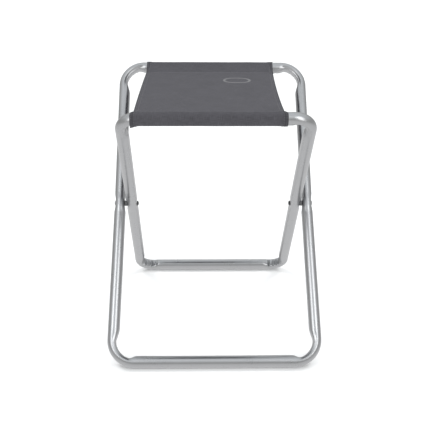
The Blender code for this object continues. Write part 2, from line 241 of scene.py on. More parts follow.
def apply_modifiers(obj):
    evaluated = obj.evaluated_get(bpy.context.evaluated_depsgraph_get())
    mesh = bpy.data.meshes.new_from_object(evaluated)
    obj.modifiers.clear()
    obj.data = mesh


# ---------------------------------------------------------------- tubes


class Loop:
    """The centre line of a tube loop, by its length from the middle of the seat rail, positive to +X."""

    def __init__(self, side, rail_half, pivot_half, foot_half, bend_radius, foot_ramp, wrinkles):
        self.side = side  # -1 where the seat rail is at the front, 1 where it is at the rear
        self.radius = bend_radius
        self.foot_ramp = foot_ramp
        self.wrinkles = wrinkles
        self.corners = [
            Vector((0.0, 0.0)),
            Vector((rail_half, 0.0)),
            Vector((pivot_half, PIVOT_DOWN)),
            Vector((foot_half, LEG_LENGTH)),
            Vector((0.0, LEG_LENGTH)),
        ]
        self.ways = [(b - a).normalized() for a, b in zip(self.corners, self.corners[1:])]
        self.turns = (self.ways[0].angle(self.ways[1]), self.ways[2].angle(self.ways[3]))
        cut = [self.radius * math.tan(turn / 2) for turn in self.turns]
        spans = [(b - a).length for a, b in zip(self.corners, self.corners[1:])]
        self.rail_end = spans[0] - cut[0]
        self.leg_start = self.rail_end + self.radius * self.turns[0]
        self.pivot = self.leg_start + spans[1] - cut[0]
        self.leg_end = self.pivot + spans[2] - cut[1]
        self.foot_start = self.leg_end + self.radius * self.turns[1]
        self.half_length = self.foot_start + spans[3] - cut[1]

    def plane_point(self, length):
        """Point and outward normal in the loop's plane, at a length on the +X half."""
        along, outward = self.ways[0], Vector((0.0, -1.0))
        if length <= self.rail_end:
            return along * length, outward
        if length < self.leg_start:
            return self.bend_point(along * self.rail_end, outward, length - self.rail_end)
        if length <= self.leg_end:
            way = self.ways[1] if length <= self.pivot else self.ways[2]
            return self.corners[2] + way * (length - self.pivot), Vector((way.y, -way.x))
        if length < self.foot_start:
            way = self.ways[2]
            start = self.corners[2] + way * (self.leg_end - self.pivot)
            return self.bend_point(start, Vector((way.y, -way.x)), length - self.leg_end)
        return Vector((self.half_length - length, LEG_LENGTH)), Vector((0.0, 1.0))

    def bend_point(self, start, outward, passed):
        normal = outward.copy()
        normal.rotate(Matrix.Rotation(passed / self.radius, 2))
        return start - outward * self.radius + normal * self.radius, normal

    def station(self, length):
        """Centre, outward normal and across direction, in space."""
        point, normal = self.plane_point(abs(length))
        mirror = -1.0 if length < 0 else 1.0
        across = Vector((0.0, math.cos(LEG_SLANT), -self.side * math.sin(LEG_SLANT)))
        centre = self.down_the_leg(Vector((mirror * point.x, point.y)))
        centre += Vector((0.0, self.side * RAIL_HALF_DEPTH, RAIL_HEIGHT))
        return centre, self.down_the_leg(Vector((mirror * normal.x, normal.y))), across

    def down_the_leg(self, way):
        """A direction or place in the loop's plane, turned into space."""
        sine, cosine = math.sin(LEG_SLANT), math.cos(LEG_SLANT)
        return Vector((way.x, -self.side * sine * way.y, -cosine * way.y))

    def rail_length(self, x, outwards):
        """Length at which a point held outwards from the centre line is at X."""
        past = abs(x) - self.rail_end
        if past <= 0:
            return x
        turn = math.asin(min(1.0, past / (self.radius + outwards)))
        return math.copysign(self.rail_end + self.radius * turn, x)

    def crush(self, length):
        """How far the tube is crushed, from 0 on the straight parts to 1 inside a bend."""
        length = abs(length)

        def ramp(into_bend, ends):
            low, high = ends
            return smooth_step((into_bend - low) / (high - low))

        rail_bend = ramp(length - self.rail_end, CRUSH_RAIL_RAMP)
        rail_bend *= ramp(self.leg_start - length, CRUSH_LEG_RAMP)
        foot_bend = ramp(length - self.leg_end, CRUSH_LEG_RAMP)
        foot_bend *= ramp(self.foot_start - length, self.foot_ramp)
        return rail_bend + foot_bend

    def pinch(self, length):
        """How far the leg is pressed flat, from 0 away from the rivet to 1 under it."""
        past = abs(abs(length) - self.pivot) - PINCH_FLAT
        return 1 - smooth_step(past / (PINCH_REACH - PINCH_FLAT))

    def lengths(self):
        """Lengths of the tube's rings, closer together in the bends and at the rivets."""
        stops = [
            (SEAM_GAP / 2, self.rail_end + CRUSH_RAIL_RAMP[0], LEG_STEP),
            (self.rail_end + CRUSH_RAIL_RAMP[0], self.leg_start - CRUSH_LEG_RAMP[0], BEND_STEP),
            (self.leg_start - CRUSH_LEG_RAMP[0], self.pivot - PINCH_REACH, LEG_STEP),
            (self.pivot - PINCH_REACH, self.pivot + PINCH_REACH, PINCH_STEP),
            (self.pivot + PINCH_REACH, self.leg_end + CRUSH_LEG_RAMP[0], LEG_STEP),
            (self.leg_end + CRUSH_LEG_RAMP[0], self.foot_start - self.foot_ramp[0], BEND_STEP),
            (self.foot_start - self.foot_ramp[0], self.half_length, LEG_STEP),
        ]
        half = []
        for low, high, step in stops:
            count = max(1, round((high - low) / step))
            half += [low + (high - low) * index / count for index in range(count)]
        half.append(self.half_length)
        return half + [-length for length in reversed(half[:-1])]


def tube_section(loop, length, angles, offset):
    """Outward and across coordinates of a ring, with the crush of a bend and the flat of a rivet."""
    crush, pinch = loop.crush(length), loop.pinch(length)
    radius = TUBE_RADIUS + offset
    cosine, sine = np.cos(angles), np.sin(angles)
    inner = cosine < 0
    power = np.where(inner, 1 / (1 + CRUSH_SQUARENESS * crush), 1.0)
    bend = 0 if abs(length) < loop.pivot else 1
    depth = np.where(inner, radius - crush * CRUSH, radius)
    outward = depth * np.sign(cosine) * np.abs(cosine) ** power
    across = (radius + crush * SPREAD) * np.sign(sine) * np.abs(sine) ** power
    turned = np.abs(np.angle(np.exp(1j * angles)))
    start, end = SHOULDER_TURNS
    shoulder = crush * SHOULDER_DEPTH[bend] / radius
    across *= 1 - shoulder * smooth_step((turned - start) / (end - start))
    phase = 2 * math.pi * length / WRINKLE_PITCH
    size, pitch, shift = WRINKLE_OVERTONE
    wrinkle = math.sin(phase) + size * math.sin(pitch * phase + shift)
    outward += inner * crush * loop.wrinkles[bend] * wrinkle * np.abs(cosine) ** WRINKLE_FADE
    limit = radius - pinch * PINCH
    pressed = np.sign(outward) * soft_min(np.abs(outward), limit, PINCH_ROUNDING)
    outward = outward + (pressed - outward) * min(1.0, pinch * PINCH_ONSET)
    across *= 1 + pinch * PINCH_SPREAD / radius
    return outward, across


def make_tube(name, loop, body, node, pivot_half):
    """One loop of tube, with its skin, its bore and the holes for the rivets and the insert's pins."""
    angles = np.linspace(0, 2 * math.pi, TUBE_SIDES, endpoint=False) + loop.side * LEG_SLANT
    lengths = loop.lengths()
    rings = []
    for offset in (0.0, -TUBE_WALL):
        for length in lengths:
            centre, outward, across = (np.array(v) for v in loop.station(length))
            out, side = tube_section(loop, length, angles, offset)
            rings.append(centre + out[:, None] * outward + side[:, None] * across)
    count = len(lengths)

    def index(ring, corner):
        return ring * TUBE_SIDES + corner % TUBE_SIDES

    pairs = [(ring, ring + 1, False) for ring in range(count - 1)]
    pairs += [(count + ring, count + ring + 1, True) for ring in range(count - 1)]
    pairs += [(0, count, True), (count - 1, 2 * count - 1, False)]
    faces = []
    for first, second, flip in pairs:
        for corner in range(TUBE_SIDES):
            face = [index(first, corner), index(first, corner + 1), index(second, corner + 1)]
            face.append(index(second, corner))
            faces.append(face[::-1] if flip else face)
    tube = make_object(name, np.concatenate(rings), faces, aluminium)
    turn_out(tube)
    drill(tube, loop, pivot_half)
    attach(tube, body)
    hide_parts(node)


def drill(tube, loop, pivot_half):
    """Opens the rivet holes through both legs and the holes of the insert's pins under the seat rail."""
    rail_y = loop.side * RAIL_HALF_DEPTH
    mesh = bmesh.new()
    for sign in (-1, 1):
        across = Vector((sign * pivot_half, 0, PIVOT_HEIGHT))
        add_drill(mesh, across, Vector((1, 0, 0)), HOLE_RADIUS, 4 * TUBE_RADIUS)
        below = Vector((sign * PIN_OFFSET, rail_y, RAIL_HEIGHT - TUBE_RADIUS))
        add_drill(mesh, below, Vector((0, 0, 1)), PIN_HOLE_RADIUS, TUBE_RADIUS)
    data = bpy.data.meshes.new("drill")
    mesh.to_mesh(data)
    mesh.free()
    cutter = bpy.data.objects.new("drill", data)
    bpy.context.scene.collection.objects.link(cutter)
    boolean = tube.modifiers.new("holes", "BOOLEAN")
    boolean.operation = "DIFFERENCE"
    boolean.solver = "EXACT"
    boolean.object = cutter
    apply_modifiers(tube)
    bpy.data.objects.remove(cutter)


def add_drill(mesh, middle, way, radius, length):
    turn = Vector((0, 0, 1)).rotation_difference(way).to_matrix().to_4x4()
    matrix = Matrix.Translation(middle) @ turn
    bmesh.ops.create_cone(
        mesh,
        cap_ends=True,
        segments=DRILL_SIDES,
        radius1=radius,
        radius2=radius,
        depth=length,
        matrix=matrix,
    )


# ---------------------------------------------------------------- pivots


def arc(centre, radius, start, end, steps):
    """Points of an arc in a profile, as (radius, height), with its angles in degrees from the radius."""
    turns = [math.radians(start + (end - start) * step / steps) for step in range(steps + 1)]
    return [(centre[0] + radius * math.cos(t), centre[1] + radius * math.sin(t)) for t in turns]


def dome(radius, height, steps=12):
    """Profile of a dome from its top to its rim."""
    turns = [math.pi / 2 * step / steps for step in range(steps + 1)]
    return [(radius * math.sin(t), height * math.cos(t)) for t in turns]


def make_turned(name, profile, start, sign, material, node):
    """A piece turned about the pivots' axis. Heights run from start towards sign along X."""
    points, faces = [], []
    for radius, height in profile:
        x = start + sign * height
        for corner in range(TURNED_SIDES):
            angle = 2 * math.pi * corner / TURNED_SIDES
            points.append((x, radius * math.cos(angle), PIVOT_HEIGHT + radius * math.sin(angle)))
    for ring in range(len(profile) - 1):
        for corner in range(TURNED_SIDES):
            after = (corner + 1) % TURNED_SIDES
            low, high = ring * TURNED_SIDES, (ring + 1) * TURNED_SIDES
            faces.append((low + corner, low + after, high + after, high + corner))
    piece = make_object(name, points, faces, material)
    turn_out(piece, weld=True)
    piece.data.shade_smooth()
    piece.data.set_sharp_from_angle(angle=SHARP_ANGLE)
    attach(piece, "outer_frame")
    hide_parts(node)


def ring_profile(radius, bore, height, chamfer):
    """A closed profile of a washer or spacer, its outer edges rounded by chamfer."""
    outline = [(bore, height), (radius - chamfer, height)]
    outline += arc((radius - chamfer, height - chamfer), chamfer, 90, 0, 4)[1:]
    outline += arc((radius - chamfer, chamfer), chamfer, 0, -90, 4)
    return outline + [(bore, 0.0), (bore, height)]


def make_pivot(side_name, sign):
    """The rivet, spacer, washer and cap of one side, each where its CAD node is."""

    def extent(part):
        """The part's two distances from the middle plane, and its radius."""
        low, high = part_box(f"{side_name}_pivot_{part}")
        return sorted((abs(low.x), abs(high.x))), (high.z - low.z) / 2

    def make(part, profile, start, way, material):
        node = f"{side_name}_pivot_{part}"
        make_turned(f"{side_name}_{part}", profile, start, way, material, node)

    (end, top), head_radius = extent("rivet")
    base = top - RIVET_HEAD_HEIGHT
    rim = RIVET_HEAD_HEIGHT * RIVET_HEAD_RIM
    head = [(radius, height + rim) for radius, height in dome(head_radius, RIVET_HEAD_HEIGHT - rim)]
    head += [(head_radius - RIVET_HEAD_UNDERCUT, 0.0), (RIVET_SHANK_RADIUS, 0.0)]
    head += [(RIVET_SHANK_RADIUS, end - base), (0.0, end - base)]
    make("rivet", head, sign * base, sign, steel)

    (low, high), radius = extent("spacer")
    spacer = ring_profile(radius, HOLE_RADIUS, high - low, SPACER_CHAMFER)
    make("spacer", spacer, sign * low, sign, grey_nylon)

    (low, high), radius = extent("washer")
    washer = ring_profile(radius, HOLE_RADIUS, high - low, WASHER_CHAMFER)
    make("washer", washer, sign * low, sign, steel)

    (low, high), radius = extent("cap")
    bore_radius, bore_depth = CAP_BORE
    cap = [(r, CAP_RIM + h) for r, h in dome(radius - CAP_DOME_INSET, high - low - CAP_RIM)]
    cap += arc((radius - CAP_ROUNDING, CAP_RIM - CAP_ROUNDING), CAP_ROUNDING, 90, 0, 4)
    cap += [(radius, 0.0), (bore_radius, 0.0), (bore_radius, bore_depth), (0.0, bore_depth)]
    make("cap", cap, sign * high, -sign, black_nylon)


# ---------------------------------------------------------------- seat


class Cloth:
    """The seat's cut, laid out along its length from the front seam allowance to the rear one.

    A station is a line across the cloth. Each has its two side edges, in X, a function from X to the point of
    the cloth's middle layer and its outward normal, the share by which it is raised over its own hem, and
    whether it lies under the seat.
    """

    # Side edges of the cloth in X, at the places that it runs through: left, right.
    EDGES = {
        "front_seam_below": (-0.1235, 0.1018),
        "front_below": (-0.1250, 0.1035),
        "front_face": (-0.1262, 0.1042),
        "front_fold": (-0.1232, 0.1000),
        "front_seam": (-0.1240, 0.1038),
        "middle": (-0.1236, 0.1047),
        "rear_seam": (-0.1216, 0.1100),
        "rear_top": (-0.1220, 0.1115),
        "rear_face": (-0.1226, 0.1126),
        "rear_below": (-0.1226, 0.1126),
        "rear_seam_below": (-0.1216, 0.1105),
    }

    def __init__(self):
        self.opening = math.asin(SLEEVE_RADIUS / SEWN_LINE)
        self.stations = []
        self.build_end(-1)
        panel = round(2 * FRONT / STATION_STEP)
        for step in range(1, panel):
            share = step / panel
            self.stations.append((self.panel_edges(share), self.panel_function(share), 0.0, False))
        self.build_end(1)
        self.measure()

    def panel_edges(self, share):
        """Side edges across the panel: a smooth curve through the front, the middle and the rear."""
        front, middle, rear = (self.EDGES[key] for key in ("front_seam", "middle", "rear_seam"))
        at_front, at_rear = (1 - share) * (1 - 2 * share), share * (2 * share - 1)
        at_middle = 4 * share * (1 - share)
        return tuple(at_front * f + at_middle * m + at_rear * r for f, m, r in zip(front, middle, rear))

    def panel_function(self, share):
        y = -FRONT + 2 * FRONT * share
        sag = 4 * share * (1 - share)

        def function(x):
            drop = PANEL_SAG * sag * (1 - ((x - PANEL_MIDDLE) / PANEL_HALF) ** 2)
            return np.array((x, y, RAIL_HEIGHT - drop)), np.array((0.0, 0.0, 1.0))

        return function

    def build_end(self, side):
        """The stations from the seam allowance round the rail to the sewn line, at the rear in reverse."""
        where = "front" if side < 0 else "rear"
        loop = inner_loop if side < 0 else outer_loop
        edges = self.EDGES
        wrap_start, wrap_end = self.wrap_angles()
        made = []
        below, seam = edges[f"{where}_seam_below"], edges[f"{where}_seam"]
        ring_start, ring_end = edges[f"{where}_below"], edges["front_fold" if side < 0 else "rear_top"]
        face = edges[f"{where}_face"]

        allowance = round(SEAM_ALLOWANCE / STATION_STEP)
        for step in range(allowance):
            inwards = SEAM_ALLOWANCE * (1 - step / allowance)
            made.append((below, self.flat(side, inwards), 0.0, True))
        layer = round(SEWN_LINE * math.cos(self.opening) / STATION_STEP)
        for step in range(layer):
            share = step / layer
            function = self.ruled(side, loop, wrap_start, share, -SEAM_DROP)
            made.append((mix(below, ring_start, share), function, share, True))
        turns = round(abs(wrap_end - wrap_start) * SLEEVE_RADIUS / WRAP_STEP)
        reach_face, leave_face = FACE_SHARES
        for step in range(turns):
            share = step / turns
            angle = wrap_start + (wrap_end - wrap_start) * share
            edge = mix(ring_start, face, smooth_step(share / reach_face))
            edge = mix(edge, ring_end, smooth_step((share - leave_face) / (1 - leave_face)))
            made.append((edge, self.ring(loop, angle), 1.0, False))
        for step in range(layer + 1):
            share = 1 - step / layer
            function = self.ruled(side, loop, wrap_end, share, 0.0)
            made.append((mix(seam, ring_end, share), function, share, False))
        self.stations += made if side < 0 else reversed(made)

    def wrap_angles(self):
        """Where the cloth's two layers leave the sleeve, as turns from the loop's outward normal."""
        upper = math.pi / 2 - self.opening
        outward = math.pi / 2 + LEG_SLANT
        start = outward + upper
        return start - 2 * math.pi, outward - upper

    def ring(self, loop, angle):
        """Round a rail, at a turn from the loop's outward normal."""

        def function(x):
            length = loop.rail_length(x, SLEEVE_RADIUS * math.cos(angle))
            centre, outward, across = (np.array(v) for v in loop.station(length))
            normal = math.cos(angle) * outward - loop.side * math.sin(angle) * across
            return centre + SLEEVE_RADIUS * normal, normal

        return function

    def flat(self, side, inwards):
        """The seam allowance, flat under the panel."""
        y = side * (FRONT - inwards)

        def function(x):
            return np.array((x, y, RAIL_HEIGHT - SEAM_DROP)), np.array((0.0, 0.0, -1.0))

        return function

    def ruled(self, side, loop, angle, share, raised_by):
        """Between the sewn line, at share 0, and the line where the layer leaves the sleeve, at share 1."""
        ring = self.ring(loop, angle)
        start = np.array((0.0, side * FRONT, RAIL_HEIGHT + raised_by))

        def function(x):
            point, normal = ring(x)
            here = start + np.array((x, 0.0, 0.0))
            return here + (point - here) * share, normal

        return function

    def measure(self):
        """The distance along the cloth of each station, for its weave."""
        middles = [function(0.0)[0] for _, function, _, _ in self.stations]
        steps = [0.0] + [float(np.linalg.norm(b - a)) for a, b in zip(middles, middles[1:])]
        self.along = np.cumsum(steps)
        self.length = float(self.along[-1])


def mix(a, b, share):
    """From pair a at share 0 to pair b at share 1."""
    return tuple(float(p + (q - p) * share) for p, q in zip(a, b))


def bell(value):
    return math.exp(-(value**2))


def side_columns():
    """Columns across a side hem and the cloth next to it: distance from the side edge, and layer."""
    under = [(distance, -1.0) for distance in HEM_UNDER]
    return under + list(HEM_FOLD) + [(distance, 0.0) for distance in HEM_OVER]


def hem_relief(distance, along, side):
    """Height of the cloth over a hem: hollows at the rows of stitches, and puckers between them."""
    depth, width = HEM_HOLLOW
    relief = -sum(depth * bell((distance - row) / width) for row in HEM_ROWS)
    height, reach = PUCKER
    pucker = sum(size * math.sin(along * rate + phase * side) for size, rate, phase in PUCKER_WAVES)
    return relief + height * pucker * bell(distance / reach)


def make_cloth():
    """The seat's cloth, with thickness. Its hems are turned in under its side edges."""
    columns = side_columns()
    points, weave, doubling = [], [], []
    for station, along in zip(cloth.stations, cloth.along):
        (left, right), function, raised, _ = station
        row = [(left + d, d, layer, -1) for d, layer in columns]
        inner_left, inner_right = left + columns[-1][0], right - columns[-1][0]
        for step in range(1, PANEL_COLUMNS):
            x = inner_left + (inner_right - inner_left) * step / PANEL_COLUMNS
            row.append((x, min(x - left, right - x), 0.0, 0))
        row += [(right - d, d, layer, 1) for d, layer in reversed(columns)]
        for x, distance, layer, side in row:
            point, normal = function(x)
            over_hem = 1 - smooth_step((distance - HEM) / HEM_EASE)
            height = LAYER * (layer + raised * over_hem) + hem_relief(distance, along, side)
            height += ripple(x, along, raised) + seam_relief(point)
            points.append(point + normal * height)
            weave.append((x + layer * HEM, along))
            # Distance from the side edge and share raised round a rail, which place the painted shade of the
            # cloth.
            doubling.append((distance, raised))
    width = 2 * len(columns) + PANEL_COLUMNS - 1
    faces = []
    for row in range(len(cloth.stations) - 1):
        for column in range(width - 1):
            corner = row * width + column
            faces.append((corner, corner + 1, corner + width + 1, corner + width))
    maps = {"weave": weave, "doubling": doubling}
    seat = make_object("seat_cloth", points, faces, seat_fabric, maps)
    solidify = seat.modifiers.new("thickness", "SOLIDIFY")
    solidify.thickness = CLOTH
    solidify.offset = 0.0
    solidify.use_even_offset = True
    apply_modifiers(seat)
    turn_out(seat)
    seat.data.shade_smooth()
    return seat


def ripple(x, along, raised):
    """Slow and fine unevenness of taut cloth, weaker where it is held round a rail."""
    (x_rate, x_phase), (along_rate, along_phase) = SLOW_WAVES
    slow = math.sin(x * x_rate + x_phase) * math.sin(along * along_rate + along_phase)
    size, x_rate, along_rate = SLANTED_WAVE
    slow += size * math.sin(x * x_rate + along * along_rate)
    x_rate, along_rate = FINE_WAVES
    wander, wander_rate = FINE_WANDER
    fine = math.sin(x * x_rate + wander * math.sin(along * wander_rate)) * math.sin(along * along_rate)
    slow_height, fine_height = RIPPLE
    return (slow_height * slow + fine_height * fine) * (1 - RIPPLE_HOLD * raised)


def seam_relief(point):
    """The rows of stitches along the two sewn lines pull the cloth down a little."""
    depth, width = SEAM_HOLLOW
    return -sum(depth * bell((abs(point[1]) - (FRONT - row)) / width) for row in SEAM_ROWS)


class Thread:
    """Collects the stitches of the seat in one mesh."""

    SIDES = 6
    LENGTH = 0.0026
    PITCH = 0.0033
    OFFSET = 0.2  # of the first stitch, as a share of the pitch
    RADIUS = 0.00025
    SINK = 0.9  # how far a stitch's ends go into the cloth, as a share of the radius
    PROFILE = [(0.0, 0.25), (0.12, 0.75), (0.3, 1.0), (0.7, 1.0), (0.88, 0.75), (1.0, 0.25)]

    def __init__(self):
        self.points = []
        self.faces = []

    def stitch(self, start, end, normal):
        """One stitch, thinner at its ends, which dip into the cloth."""
        length = np.linalg.norm(end - start)
        way = (end - start) / length
        side = np.cross(way, normal)
        first = len(self.points)
        for share, size in self.PROFILE:
            dip = self.RADIUS * self.SINK * (2 * share - 1) ** 4
            centre = start + way * length * share - normal * dip
            for corner in range(self.SIDES):
                angle = 2 * math.pi * corner / self.SIDES
                offset = side * math.cos(angle) + normal * math.sin(angle)
                self.points.append(centre + offset * self.RADIUS * size)
        last = first + (len(self.PROFILE) - 1) * self.SIDES
        for ring in range(first, last, self.SIDES):
            for corner in range(self.SIDES):
                after = (corner + 1) % self.SIDES
                upper = ring + self.SIDES
                self.faces.append((ring + corner, ring + after, upper + after, upper + corner))
        self.faces.append(tuple(range(first + self.SIDES - 1, first - 1, -1)))
        self.faces.append(tuple(range(last, last + self.SIDES)))

    def row(self, line):
        """Stitches along a line of (point, normal)."""
        points = np.array([point for point, _ in line])
        normals = np.array([normal for _, normal in line])
        steps = np.linalg.norm(np.diff(points, axis=0), axis=1)
        along = np.concatenate(([0.0], np.cumsum(steps)))

        def between(values, length):
            return np.array([np.interp(length, along, values[:, axis]) for axis in range(3)])

        for index in range(int(along[-1] // self.PITCH)):
            start = (index + self.OFFSET) * self.PITCH
            normal = between(normals, start)
            normal /= np.linalg.norm(normal)
            self.stitch(between(points, start), between(points, start + self.LENGTH), normal)


def make_stitching():
    """All rows of stitches, on both faces of the cloth."""
    thread = Thread()
    for row in HEM_ROWS:
        for edge, side in ((0, -1), (1, 1)):
            upper, lower = [], []
            for (edges, function, raised, below), along in zip(cloth.stations, cloth.along):
                x = edges[edge] - side * row
                point, normal = function(x)
                height = LAYER * raised + hem_relief(row, along, side) + ripple(x, along, raised)
                upper.append((point + normal * (height + THREAD_LIFT), normal))
                if raised < LOWER_ROW_REACH and not below:
                    lower.append((point + normal * (height - LAYER - THREAD_LIFT), -normal))
            thread.row(upper)
            thread.row(lower)
    for side in (-1, 1):
        for row in SEAM_ROWS:
            share = (FRONT + side * (FRONT - row)) / (2 * FRONT)
            left, right = cloth.panel_edges(share)
            function = cloth.panel_function(share)
            along = cloth.along[-1] / 2 + side * (FRONT - row)
            upper, lower = [], []
            for x in np.linspace(left + SEAM_INSET, right - SEAM_INSET, SEAM_POINTS):
                point, normal = function(x)
                height = ripple(x, along, 0.0) + seam_relief(point)
                upper.append((point + normal * (height + THREAD_LIFT), normal))
                lower.append((point + normal * (height - SEAM_DROP - THREAD_LIFT), -normal))
            thread.row(upper)
            thread.row(lower)
    return make_object("seat_stitching", thread.points, thread.faces, seat_thread)


# ---------------------------------------------------------------- materials


def fill_ramp(ramp, stops):
    """Gives a colour ramp node its stops of (position, colour)."""
    elements = ramp.color_ramp.elements
    while len(elements) < len(stops):
        elements.new(0.5)
    for element, (position, color) in zip(elements, stops):
        element.position = position
        element.color = (*color, 1.0)


def toned(color, share):
    return tuple(share * part for part in color)


class Nodes:
    """A material's node tree, with short ways to add and join nodes."""

    def __init__(self, name):
        self.material = bpy.data.materials.new(name)
        self.material.use_nodes = True
        self.tree = self.material.node_tree
        self.shader = self.tree.nodes["Principled BSDF"]

    def node(self, kind, **settings):
        made = self.tree.nodes.new(kind)
        for key, value in settings.items():
            setattr(made, key, value)
        return made

    def join(self, source, target):
        self.tree.links.new(source, target)

    def value(self, target, source):
        if isinstance(source, (int, float)):
            target.default_value = source
        else:
            self.join(source, target)

    def math(self, operation, first, second=0.0):
        made = self.node("ShaderNodeMath", operation=operation)
        self.value(made.inputs[0], first)
        self.value(made.inputs[1], second)
        return made.outputs[0]

    def map_range(self, source, from_low, from_high, to_low, to_high):
        made = self.node("ShaderNodeMapRange", clamp=True)
        for index, item in enumerate((source, from_low, from_high, to_low, to_high)):
            self.value(made.inputs[index], item)
        return made.outputs[0]

    def scaled(self, source, scale):
        made = self.node("ShaderNodeMapping")
        self.join(source, made.inputs["Vector"])
        made.inputs["Scale"].default_value = scale
        return made.outputs[0]

    def noise(self, source, scale, detail=2.0, roughness=0.5):
        made = self.node("ShaderNodeTexNoise")
        self.join(source, made.inputs["Vector"])
        made.inputs["Scale"].default_value = scale
        made.inputs["Detail"].default_value = detail
        made.inputs["Roughness"].default_value = roughness
        return made.outputs["Fac"]

    def ramp(self, source, stops):
        made = self.node("ShaderNodeValToRGB")
        self.join(source, made.inputs["Fac"])
        fill_ramp(made, stops)
        return made.outputs["Color"]

    def object_place(self):
        return self.node("ShaderNodeTexCoord").outputs["Object"]

    def uv_parts(self, map_name):
        """A UV map, and its two coordinates on their own."""
        place = self.node("ShaderNodeUVMap", uv_map=map_name).outputs["UV"]
        split = self.node("ShaderNodeSeparateXYZ")
        self.join(place, split.inputs[0])
        return place, split.outputs[0], split.outputs[1]

    def base_color(self, source):
        self.join(source, self.shader.inputs["Base Color"])

    def roughness(self, source):
        self.join(source, self.shader.inputs["Roughness"])

    def bump(self, height, distance, strength=1.0):
        made = self.node("ShaderNodeBump")
        self.join(height, made.inputs["Height"])
        made.inputs["Distance"].default_value = distance
        made.inputs["Strength"].default_value = strength
        self.join(made.outputs["Normal"], self.shader.inputs["Normal"])

    def set(self, **inputs):
        for key, value in inputs.items():
            self.shader.inputs[key.replace("_", " ")].default_value = value


def metal(name, color, roughness, scratches):
    """Drawn metal: cloudy tone, fine scratches and a slightly uneven gloss."""
    made = Nodes(name)
    place = made.object_place()
    cloud = made.noise(place, scale=35, detail=4, roughness=0.6)
    grain = made.noise(place, scale=1400, detail=3, roughness=0.7)
    made.base_color(made.ramp(cloud, [(0.3, toned(color, 0.95)), (0.7, color)]))
    wear = made.math("ADD", cloud, made.math("MULTIPLY", grain, 0.5))
    wear = made.map_range(wear, 0.5, 1.0, -1.0, 1.0)
    made.roughness(made.math("ADD", made.math("MULTIPLY", wear, 0.03), roughness))
    made.bump(grain, distance=scratches)
    made.set(Metallic=1.0)
    return made.material


def plastic(name, color, roughness):
    """Moulded nylon with a faint eggshell."""
    made = Nodes(name)
    place = made.object_place()
    cloud = made.noise(place, scale=300, detail=3, roughness=0.6)
    grain = made.noise(place, scale=3500, detail=2, roughness=0.5)
    made.base_color(made.ramp(cloud, [(0.3, toned(color, 0.8)), (0.7, toned(color, 1.15))]))
    made.roughness(made.map_range(cloud, 0.3, 0.7, roughness - 0.05, roughness + 0.07))
    made.bump(grain, distance=0.00004)
    return made.material


def woven(name, color, thread):
    """Plain-weave polyester. The weave follows the cloth's own length and width."""
    made = Nodes(name)
    place, across, along = made.uv_parts("weave")
    _, from_edge, raised = made.uv_parts("doubling")
    turn = math.pi / thread
    warp = made.math("SINE", made.math("MULTIPLY", across, turn))
    weft = made.math("SINE", made.math("MULTIPLY", along, turn))
    over = made.math("MULTIPLY", warp, weft)
    lift = made.math("ADD", made.math("MULTIPLY", over, 0.5), 0.5)
    warp_streak = made.noise(made.scaled(place, (1 / thread, 0.06 / thread, 1)), scale=0.9)
    weft_streak = made.noise(made.scaled(place, (0.06 / thread, 1 / thread, 1)), scale=0.9)
    streak = made.math("ADD", warp_streak, weft_streak)
    cloud = made.noise(place, scale=28, detail=4, roughness=0.6)
    shade = made.math("ADD", made.math("MULTIPLY", streak, 0.8), made.math("MULTIPLY", cloud, 0.35))
    shade = made.math("ADD", shade, made.math("MULTIPLY", lift, 0.12))
    shade = made.map_range(shade, 0.72, 1.32, 0.0, 1.0)
    # Painted shade: the side hems are coloured darker, and a narrower strip of them where the cloth is free of
    # the rails, for the light that a single layer lets through from below.
    hem_end = made.map_range(raised, 0.0, 1.0, FOLD_WIDTH, HEM)
    hem = made.math("SUBTRACT", made.math("DIVIDE", hem_end, from_edge), 1.0)
    hem = made.map_range(hem, 0.0, HEM_SOFTNESS, 0.0, HEM_SHADE)
    # Painted shade: the cloth round the rails is coloured darker.
    hem = made.math("ADD", hem, made.math("MULTIPLY", raised, CASING_SHADE))
    dark, light = (toned(color, share) for share in WEAVE_TONES)
    tone = made.ramp(made.math("SUBTRACT", shade, hem), [(0.0, dark), (1.0, light)])
    made.base_color(printed(made, tone, across, along))
    made.roughness(made.map_range(lift, 0.0, 1.0, 0.86, 0.74))
    height = made.math("ADD", lift, made.math("MULTIPLY", streak, 0.5))
    made.bump(height, distance=0.00014, strength=0.8)
    made.set(Sheen_Weight=0.05, Sheen_Roughness=0.5, Specular_IOR_Level=0.2)
    made.shader.inputs["Sheen Tint"].default_value = (0.75, 0.76, 0.80, 1.0)
    return made.material


def printed(made, tone, across, along):
    """A plain oval outline with round ends, printed on the cloth."""
    past_x = made.math("ABSOLUTE", made.math("SUBTRACT", across, PRINT_PLACE[0]))
    past_x = made.math("MAXIMUM", made.math("SUBTRACT", past_x, PRINT_HALF_LENGTH), 0.0)
    past_y = made.math("SUBTRACT", along, PRINT_PLACE[1])
    square_y = made.math("MULTIPLY", past_y, past_y)
    square = made.math("ADD", made.math("MULTIPLY", past_x, past_x), square_y)
    inner, outer = PRINT_RADII
    inside = made.math("LESS_THAN", square, outer**2)
    line = made.math("MULTIPLY", inside, made.math("GREATER_THAN", square, inner**2))
    mix_node = made.node("ShaderNodeMix", data_type="RGBA")
    made.join(made.math("MULTIPLY", line, PRINT_COVER), mix_node.inputs["Factor"])
    made.join(tone, mix_node.inputs[MIX_COLOR_A])
    mix_node.inputs[MIX_COLOR_B].default_value = (*PRINT_COLOR, 1.0)
    return mix_node.outputs[MIX_COLOR_RESULT]


def spun(name, color):
    """Sewing thread, its twist seen as fine bands."""
    made = Nodes(name)
    place = made.object_place()
    twist = made.noise(place, scale=2600)
    made.base_color(made.ramp(twist, [(0.3, toned(color, 0.7)), (0.7, toned(color, 1.2))]))
    made.bump(twist, distance=0.00005)
    made.set(Roughness=0.7, Sheen_Weight=0.2)
    return made.material


# ---------------------------------------------------------------- stage


